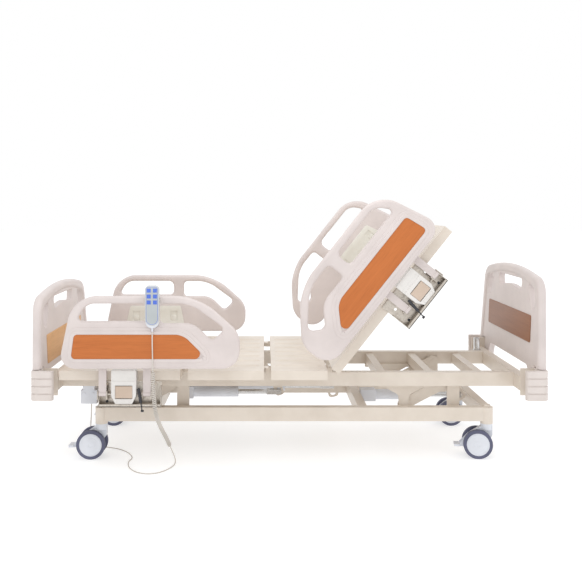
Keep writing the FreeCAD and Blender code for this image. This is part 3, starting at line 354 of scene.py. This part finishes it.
def bar(name, radius, start, end, soften_by=0.6, sides=28):
    """A round bar between two points in millimetres, its ends chamfered."""
    start, end = Vector(start) * MM, Vector(end) * MM
    turn = (end - start).to_track_quat("Z", "Y").to_euler()
    bpy.ops.object.select_all(action="DESELECT")
    bpy.ops.mesh.primitive_cylinder_add(vertices=sides, radius=radius * MM, depth=(end - start).length,
                                        location=(start + end) / 2, rotation=turn)
    piece = bpy.context.object
    piece.name = name
    bpy.ops.object.transform_apply(location=True, rotation=True, scale=True)
    return soften(piece, soften_by, 2)


def soften(piece, width, steps, angle=50):
    """Rounds the edges that turn by more than an angle."""
    only(piece)
    rounding = piece.modifiers.new("rounding", "BEVEL")
    rounding.width = width * MM
    rounding.segments = steps
    rounding.limit_method = "ANGLE"
    rounding.angle_limit = math.radians(angle)
    rounding.use_clamp_overlap = False
    rounding.loop_slide = False
    bpy.ops.object.modifier_apply(modifier=rounding.name)
    return piece


def carve(piece, *cutters):
    """Cuts other shapes out of a piece."""
    for cutter in cutters:
        only(piece)
        cutting = piece.modifiers.new("cutting", "BOOLEAN")
        cutting.operation = "DIFFERENCE"
        cutting.solver = "EXACT"
        cutting.object = cutter
        bpy.ops.object.modifier_apply(modifier=cutting.name)
        bpy.data.objects.remove(cutter)
    return piece


def join(name, pieces):
    """Several shapes made one piece."""
    only(pieces[0])
    for piece in pieces[1:]:
        piece.select_set(True)
    bpy.ops.object.join()
    pieces[0].name = name
    return pieces[0]


def grown(corners, by):
    """An outline with every side moved outwards, and its corners rounder by as much."""
    count = len(corners)
    doubled_area = sum(corners[n - 1][0] * corners[n][1] - corners[n][0] * corners[n - 1][1]
                       for n in range(count))
    sign = 1 if doubled_area > 0 else -1
    made = []
    for number, (a, b, radius) in enumerate(corners):
        into = (Vector((a, b)) - Vector(corners[number - 1][:2])).normalized()
        out = (Vector(corners[(number + 1) % count][:2]) - Vector((a, b))).normalized()
        bisector = Vector((into.y + out.y, -into.x - out.x)) * sign
        bisector *= by / bisector.dot(Vector((into.y, -into.x)) * sign)
        made.append((a + bisector.x, b + bisector.y, radius + by))
    return made


def finish(piece, body, material, place=None):
    """Lays a piece in its place, smooths and coats it, and gives it to its body."""
    if place is not None:
        piece.data.transform(place)
        if place.determinant() < 0:
            piece.data.flip_normals()
    only(piece)
    bpy.ops.object.shade_smooth_by_angle(angle=SMOOTH_BELOW)
    coat(piece, material)
    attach(piece, body)
    return piece


def twin(piece, name):
    """A copy of a piece, with a mesh of its own."""
    only(piece)
    bpy.ops.object.duplicate()
    made = bpy.context.object
    made.name = name
    return made


# Side rails -------------------------------------------------------------------------------------------
# A rail's own measures, in millimetres: along it from its steep end, outwards from the bed's middle, and
# up from the deck. Outlines are corners of (along, up, corner radius).
RAIL = [(-14, 19, 60), (49, 318, 120), (562, 318, 250), (735, 164, 90), (733, 19, 75)]
GRIP = [(62, 215, 16), (103, 287, 60), (352, 287, 28), (352, 215, 22)]
NOSE_GRIP = [(406, 206, 20), (406, 286, 20), (531, 286, 150), (674, 182, 22), (620, 132, 22),
             (545, 206, 85)]
INLAY = [(43, 62, 16), (56, 161, 14), (501, 161, 70), (601, 62, 21)]
RAIL_INNER, RAIL_OUTER = 485, 515
RAIL_EDGE = 12
FIELD_BORDER = 29
FIELD_FACE = 517
LIP_WIDTH, LIP_RISE = 14, 3
INLAY_BORDER, INLAY_DEPTH = 14.4, 5.5
HOOKS = (154, 353)
# Both arms swing between a pin on the rail's lugs and one in the bracket's ears.
ARMS = (164, 348)
UPPER_PIN, LOWER_PIN = 43, -93
PIN_DEPTH, PIN_RADIUS = 470, 4
CHEEK_HALF, EAR_SHEET = 21, 4
BRACKET_ENDS = (149, 407)
BRACKET_SHEET = (450.5, 454.5)
BRACKET_FLOOR = -144
SCREWS = (180, 378)
SCREW_HEIGHT = -124
BRACKET_TOPS = {"foot": -42, "back": -4}
HOUSING_FACE, POCKET_FLOOR = 492, 478
DAMPER_TOP, DAMPER_END = (315, 487, -65), (325, 487, -125)

FOOT_RAIL_PLACE = Matrix.Translation((-0.939, 0, 0.413))
BACK_RAIL_PLACE = BACK_PLACE @ Matrix.Translation((0.758, 0, 0.019))


def rail_place(kind, side):
    """From a rail's own measures to the bed's. The back rails run the other way, on their section."""
    if kind == "foot":
        return FOOT_RAIL_PLACE @ Matrix.Diagonal((1, side, 1, 1))
    return BACK_RAIL_PLACE @ Matrix.Diagonal((-1, side, 1, 1))


def facing_out(part):
    """Whether a face looks outwards."""
    return part.normal.y > 0.9


def inset_and_move(width, rise):
    """Insets the selected face, then raises or sinks what is left of it."""
    bpy.ops.mesh.inset(thickness=width * MM)
    bpy.ops.mesh.extrude_region_move(TRANSFORM_OT_translate={"value": (0, rise * MM, 0)})


def model_shell():
    """A moulded rail: a thick round edge, two grips, a flat field and a raised lip round the inlay."""
    shell = plate("rail_shell", RAIL, RAIL_INNER, RAIL_OUTER, steps=16)
    cutting = (RAIL_INNER - 15, RAIL_OUTER + 15)
    carve(shell, plate("grip", GRIP, *cutting, steps=10),
          plate("nose_grip", NOSE_GRIP, *cutting, steps=12))
    soften(shell, RAIL_EDGE, 5)
    field = plate("rail_field", grown(INLAY, FIELD_BORDER), RAIL_OUTER - 2, FIELD_FACE)
    pick(field, "FACE", facing_out)
    inset_and_move(LIP_WIDTH, LIP_RISE)
    inset_and_move(INLAY_BORDER, -INLAY_DEPTH)
    bpy.ops.object.mode_set(mode="OBJECT")
    soften(field, 1.4, 3, 40)
    return join("rail_shell", [shell, field])


def model_cover():
    """The cover of the hinge irons on the rail's inner face, with its two snap hooks."""
    outline = [(93, 34, 6), (123, 156, 10), (389, 156, 10), (414, 34, 6)]
    cover = plate("rail_cover", outline, RAIL_INNER - 4.5, RAIL_INNER + 1)
    for middle in HOOKS:
        carve(cover, slab("hook_slot", (middle - 18, middle + 18), (470, 483.5), (78, 128)))
    hooks = [soften(cover, 1.2, 2)]
    for middle in HOOKS:
        tab = plate("snap_hook", [(middle - 14, 80, 2), (middle + 14, 80, 2), (middle + 14, 106, 5),
                                  (middle - 14, 106, 5)], 480.8, RAIL_INNER)
        hooks.append(soften(tab, 1.2, 2))
    return join("rail_cover", hooks)


def model_pair(name, middle, corners):
    """Two upright sheets, one each side of an arm, from one outline."""
    return [soften(plate(name, corners, low, low + EAR_SHEET, plane="yz"), 0.8, 2)
            for low in (middle - CHEEK_HALF, middle + CHEEK_HALF - EAR_SHEET)]


def pin(name, start, end, height):
    """A swing pin along the rail, at its depth and height."""
    return bar(name, PIN_RADIUS, (start, PIN_DEPTH, height), (end, PIN_DEPTH, height))


def model_lugs():
    """The steel lugs under a rail's inner face, with the pins that its arms swing on."""
    parts = []
    for middle in ARMS:
        parts += model_pair("lug", middle, [(461, 31, 9), (488, 31, 2), (488, 55, 2), (461, 55, 9)])
        parts.append(pin("swing_pin", middle - 23, middle + 23, UPPER_PIN))
    return join("rail_lugs", parts)


def model_bracket(top):
    """The folded zinc plate that carries a rail: lip, hem, cheeks, ears, two swing pins and washers."""
    start, end = BRACKET_ENDS
    back = plate("bracket_back", [(start, BRACKET_FLOOR, 3), (end, BRACKET_FLOOR, 3), (end, top, 3),
                                  (start, top, 3)], *BRACKET_SHEET)
    for along in (178, 378):
        carve(back, bar("bracket_hole", 6, (along, 440, -54), (along, 470, -54)))
    parts = [soften(back, 0.7, 2),
             slab("bracket_lip", BRACKET_ENDS, (453, 482), (BRACKET_FLOOR, -140), 0.8),
             slab("bracket_hem", BRACKET_ENDS, (479, 482), (BRACKET_FLOOR, -132), 0.8)]
    cheek_outline = [(453, -142, 2), (482, -142, 3), (482, -112, 8), (464, -58, 8), (453, -58, 2)]
    for low in (start, end - 3):
        parts.append(soften(plate("bracket_cheek", cheek_outline, low, low + 3, plane="yz"), 0.6, 2))
    for middle in ARMS:
        parts += model_pair("bracket_ear", middle, [(453, -117, 2), (482, -117, 9), (482, -79, 9),
                                                    (453, -79, 2)])
    parts.append(pin("lower_pin_start", 143, 204, LOWER_PIN))
    parts.append(pin("lower_pin_end", 305, 373, LOWER_PIN))
    for along in SCREWS:
        parts.append(bar("bracket_washer", 9, (along, 454, SCREW_HEIGHT), (along, 456, SCREW_HEIGHT)))
    return join("rail_bracket", parts)


def model_screws():
    """Black cap screws, each with a hexagon socket."""
    parts = []
    for along in SCREWS:
        under, floor, face, clear = ((along, depth, SCREW_HEIGHT) for depth in (455.5, 458.5, 461, 470))
        head = bar("screw_head", 6, under, face, 0.8, 24)
        parts.append(carve(head, bar("screw_socket", 2.6, floor, clear, 0.05, 6)))
    return join("rail_screws", parts)


def model_housing():
    """The latch housing: steps down its front, a tapered foot and a pocket for the release button."""
    outline = [(203, 11, 4), (306, 11, 4), (306, -96, 6), (289, -129, 6), (220, -129, 6), (203, -96, 6)]
    pocket = [(219, -108.5, 4), (291, -108.5, 4), (291, -52.5, 4), (219, -52.5, 4)]
    case = soften(plate("latch_housing", outline, BRACKET_SHEET[1], HOUSING_FACE), 2.5, 3, 60)
    carve(case, slab("housing_step", (209, 300), (490, 500), (-36, -20)),
          slab("housing_sill", (226, 283), (489.5, 500), (-126, -113)),
          plate("button_pocket", pocket, POCKET_FLOOR, 500))
    return soften(case, 0.5, 2, 60)


def model_damper():
    """The gas damper beside the latch: a black cylinder, its thin rod and its eye."""
    body = bar("damper_body", 6.2, DAMPER_TOP, DAMPER_END, 2)
    rod = bar("damper_rod", 2.4, DAMPER_END, (330, 487, -156))
    eye = bar("damper_eye", 4.6, (325, 487, -158), (337, 487, -158), 1)
    return join("rail_damper", [body, rod, eye])


def make_rails():
    """Each rail and its mount, modelled once and laid in all four places."""
    moving = [(model_shell(), shell_plastic, "abs_cream"), (model_cover(), cover_plastic, "abs_cream"),
              (model_lugs(), zinc_plate, "bright_steel")]
    fixed = [(model_screws(), black_nylon, "dark_plastic"), (model_housing(), white_abs, "grey_plastic"),
             (model_damper(), black_nylon, "dark_plastic")]
    brackets = {kind: model_bracket(top) for kind, top in BRACKET_TOPS.items()}
    for kind, parent in (("foot", "upper"), ("back", "back")):
        for side_name, side in SIDES.items():
            name = f"{kind}_{side_name}"
            place = rail_place(kind, side)
            pieces = [(f"rail_{name}", *entry) for entry in moving]
            pieces += [(parent, *entry) for entry in fixed]
            pieces.append((parent, brackets[kind], zinc_plate, "bright_steel"))
            for body, model, material, slot in pieces:
                start = model.name.split(".")[0]
                piece = finish(twin(model, f"{start}_piece_{name}"), body, material, place)
                if start == "rail_shell":
                    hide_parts("rail_shell_" + name)
                if start == "rail_bracket" and side < 0:
                    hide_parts("rail_mounts_" + kind)
    for model in [entry[0] for entry in moving + fixed] + list(brackets.values()):
        bpy.data.objects.remove(model)


# Boards -----------------------------------------------------------------------------------------------
# Each board stands on its end tube and leans outwards from its lower edge.
BOARD_REACH = 1.042
BOARD_LEAN = math.radians(2.4)
BOARD_FOOT = 416
INLAY_HALF = 322
# The lower and upper edge of each board's inlays.
INLAY_HEIGHTS = {"head": (508, 627), "foot": (418, 543)}
# How deep the two inlays lie, measured outwards from the board's inner face.
INLAY_LAYERS = ((-2.6, 0.4), (29.6, 33))


def make_board_inlays():
    """Beech foil inlays on both faces of each end board, leaning with it."""
    # The head board's inlays take the darker foil, which is painted shade.
    for end_name, foil in (("head", beech_head_painted_shade), ("foot", beech_foot)):
        end = ENDS[end_name]
        low, high = (height - BOARD_FOOT for height in INLAY_HEIGHTS[end_name])
        corners = [(-INLAY_HALF, low, 10), (INLAY_HALF, low, 10), (INLAY_HALF, high, 10),
                   (-INLAY_HALF, high, 10)]
        lean = Matrix.Translation((end * BOARD_REACH, 0, BOARD_FOOT * MM))
        lean = lean @ Matrix.Rotation(end * BOARD_LEAN, 4, "Y")
        layers = []
        for inside, outside in INLAY_LAYERS:
            sheet = plate("inlay", corners, end * inside, end * outside, plane="yz")
            layers.append(soften(sheet, 0.8, 2))
        inlay = finish(join(f"board_inlay_{end_name}", layers), "upper", foil, lean)
        if end_name == "head":
            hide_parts("board_inserts")


# Casters ----------------------------------------------------------------------------------------------
STEMS = {"foot": -0.819, "head": 0.871}
STEM_SIDE = 0.270
WHEEL_TRAIL = 0.040
WHEEL_RADIUS = 0.0625
# Only this fork stands turned from the bed's length.
TURNED_FORK, FORK_TURN = "head_near", math.radians(-8)
DISC_RADIUS, DISC_DEPTH, DISC_MIDDLE = 48.5, 3, 44.6
# The disc's face from its edge inwards, as steps of (width, rise): rim, groove, rim, dome and dished hub.
DISC_FACE = ((2, 0.8), (1.5, -1.4), (1.2, 1.2), (12, 1.2), (14, 0.5), (9, -0.6))


def model_disc():
    """A wheel's cover: a shallow dome with a rim groove, on the outer face of a tyre at the origin."""
    bpy.ops.object.select_all(action="DESELECT")
    bpy.ops.mesh.primitive_cylinder_add(vertices=64, radius=DISC_RADIUS * MM, depth=DISC_DEPTH * MM,
                                        end_fill_type="NGON", location=(0, DISC_MIDDLE * MM, 0),
                                        rotation=(math.pi / 2, 0, 0))
    disc = bpy.context.object
    disc.name = "caster_disc"
    bpy.ops.object.transform_apply(location=True, rotation=True, scale=True)
    pick(disc, "FACE", facing_out)
    for width, rise in DISC_FACE:
        inset_and_move(width, rise)
    bpy.ops.object.mode_set(mode="OBJECT")
    return soften(disc, 0.4, 2, 25)


def make_casters():
    """A disc on the outer face of every wheel."""
    disc = model_disc()
    for corner in CORNERS:
        end_name, side_name = corner.split("_")
        turn = FORK_TURN if corner == TURNED_FORK else 0
        stem = Matrix.Translation((STEMS[end_name], SIDES[side_name] * STEM_SIDE, 0))
        axle = stem @ Matrix.Rotation(turn, 4, "Z") @ Matrix.Translation((-WHEEL_TRAIL, 0, WHEEL_RADIUS))
        for face_name, face in SIDES.items():
            finish(twin(disc, f"caster_disc_{corner}_{face_name}"), "caster_wheels_" + corner, grey_nylon,
                   axle @ Matrix.Diagonal((1, face, 1, 1)))
    bpy.data.objects.remove(disc)


# Handset ----------------------------------------------------------------------------------------------
# In the bed's own millimetres: outlines are corners of (X, Z, radius), and the hook's of (Y, Z, radius).
CASE = [(-590, 612, 27), (-532, 612, 27), (-532, 777, 17), (-590, 777, 17)]
CAP = [(-588.5, 603, 26), (-533.5, 603, 26), (-533.5, 636, 4), (-588.5, 636, 4)]
FACE = [(-585, 618, 23), (-537, 618, 23), (-537, 772, 12), (-585, 772, 12)]
HOOK = [(-519, 731.5, 1), (-519, 735.5, 1), (-480.5, 735.5, 3), (-480.5, 715, 1), (-484.5, 715, 1),
        (-484.5, 731.5, 1)]
HOOK_ENDS = (-576, -546)
CASE_DEPTH = (-539.6, -518)
CAP_DEPTH = (-538, -519)
EDGING_WIDTH = 1.4
FACE_BACK = -538
RELIEF_X, RELIEF_Y = -561, -529


def make_handset():
    """A slim case with a round foot, a framed membrane on its face and a hook over the rail's top bar."""
    case = soften(plate("handset_case", CASE, *CASE_DEPTH, steps=10), 5, 4)
    hook = plate("handset_hook", HOOK, *HOOK_ENDS, plane="yz", steps=3)
    case = join("handset_case_piece", [case, soften(hook, 0.8, 2)])
    finish(case, "rail_foot_near", handset_abs)
    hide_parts("handset_shell")
    foot = [soften(plate("handset_foot", CAP, *CAP_DEPTH, steps=10), 4, 3)]
    for name, radius, top, bottom, edge in (("handset_relief", 5.2, 606, 598, 1.2),
                                            ("handset_relief_tip", 3.8, 600, 589, 0.8)):
        foot.append(bar(name, radius, (RELIEF_X, RELIEF_Y, top), (RELIEF_X, RELIEF_Y, bottom), edge))
    finish(join("handset_foot_piece", foot), "rail_foot_near", grey_nylon)
    edging = soften(plate("handset_edging", FACE, -540.0, FACE_BACK, steps=10), 0.3, 1)
    finish(edging, "rail_foot_near", blue_film)
    film = soften(plate("handset_film", grown(FACE, -EDGING_WIDTH), -540.5, FACE_BACK, steps=10), 0.2, 1)
    finish(film, "rail_foot_near", grey_film)


# Cords ------------------------------------------------------------------------------------------------
# Routes in metres: straight down from the handset, the curly part as it hangs, and the thin tail in one
# loop on the floor, behind the caster and up into the control box.
LEAD = [(-0.561, -0.529, 0.5875), (-0.5615, -0.5285, 0.548), (-0.5605, -0.528, 0.498),
        (-0.5595, -0.5275, 0.455), (-0.559, -0.526, 0.428)]
CURL = [(-0.559, -0.526, 0.427), (-0.559, -0.525, 0.384), (-0.557, -0.521, 0.330),
        (-0.553, -0.514, 0.276), (-0.547, -0.486, 0.222), (-0.535, -0.442, 0.168),
        (-0.518, -0.398, 0.116), (-0.507, -0.370, 0.074)]
TAIL = [(-0.507, -0.370, 0.074), (-0.498, -0.354, 0.046), (-0.489, -0.350, 0.022),
        (-0.484, -0.366, 0.006), (-0.486, -0.398, 0.0026), (-0.504, -0.450, 0.0026),
        (-0.538, -0.496, 0.0026), (-0.583, -0.512, 0.0026), (-0.628, -0.494, 0.0026),
        (-0.662, -0.452, 0.0026), (-0.682, -0.400, 0.0026), (-0.688, -0.347, 0.0026),
        (-0.678, -0.304, 0.0026), (-0.690, -0.262, 0.0026), (-0.722, -0.204, 0.0026),
        (-0.774, -0.160, 0.0026), (-0.822, -0.142, 0.0026), (-0.862, -0.140, 0.008),
        (-0.884, -0.150, 0.034), (-0.890, -0.166, 0.076), (-0.886, -0.182, 0.120),
        (-0.880, -0.194, 0.166), (-0.878, -0.202, 0.215)]
WIRE = 0.0025
# The curly part's turns: their radius, their distance apart and the points of each.
COIL = 0.0068
TURN_PITCH = 0.0077
TURN_POINTS = 14


def cord_line(name, route, radius):
    """A smooth cord through a route: its points steer the line, and only its two ends lie on it."""
    curve = bpy.data.curves.new(name, "CURVE")
    curve.dimensions = "3D"
    curve.bevel_depth = radius
    curve.bevel_resolution = 3
    curve.resolution_u = 10
    curve.use_fill_caps = True
    spline = curve.splines.new("NURBS")
    spline.points.add(len(route) - 1)
    for point, place in zip(spline.points, route):
        point.co = (*place, 1)
    spline.order_u = 3
    spline.use_endpoint_u = True
    piece = bpy.data.objects.new(name, curve)
    bpy.context.collection.objects.link(piece)
    return piece


def read_line(route):
    """Points along a route's smooth line."""
    guide = cord_line("guide", route, 0)
    mesh = bpy.data.meshes.new_from_object(guide)
    points = [vertex.co.copy() for vertex in mesh.vertices]
    bpy.data.objects.remove(guide)
    bpy.data.meshes.remove(mesh)
    return points


def curl_turns(route):
    """The helix round a route's line, closing to the line over the first and last turn."""
    line = read_line(route)
    reach = [0.0]
    for before, here in zip(line, line[1:]):
        reach.append(reach[-1] + (here - before).length)
    steps = int(reach[-1] / TURN_PITCH * TURN_POINTS)
    across = Vector((1, 0, 0))
    turns, seat = [], 0
    for step in range(steps + 1):
        along = reach[-1] * step / steps
        while seat < len(line) - 2 and reach[seat + 1] < along:
            seat += 1
        share = (along - reach[seat]) / (reach[seat + 1] - reach[seat])
        middle = line[seat].lerp(line[seat + 1], share)
        heading = (line[seat + 1] - line[seat]).normalized()
        across = (across - heading * across.dot(heading)).normalized()
        beside = heading.cross(across)
        angle = step / TURN_POINTS * math.tau
        closing = min(1, step / TURN_POINTS, (steps - step) / TURN_POINTS)
        turns.append(middle + (across * math.cos(angle) + beside * math.sin(angle)) * COIL * closing)
    return turns


def make_cords():
    """The handset's lead, its curly part and its tail, each a free cord in place of its node."""
    lead = coat(cord_line("handset_lead", LEAD, WIRE), cream_pvc)
    tail = coat(cord_line("handset_tail", TAIL, WIRE), cream_pvc)
    turns = curl_turns(CURL)
    curl = coat(cord_line("handset_curl", turns, WIRE), cream_pvc)
    curl.data.resolution_u = 1
    curl.data.bevel_resolution = 2
    only(curl)
    bpy.ops.object.convert(target="MESH")
    curl = bpy.context.object
    bpy.ops.object.shade_smooth()
    for piece, body, node in ((lead, "rail_foot_near", "cord_lead"),
                              (curl, "upper", "cord_curl"),
                              (tail, "upper", "cord_tail")):
        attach(piece, body)
        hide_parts(node)
    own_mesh(curl)


aim_camera()
make_cords()
light_room()
finish_carried_nodes()
make_rails()
make_board_inlays()
make_casters()
make_handset()
lay_floor()
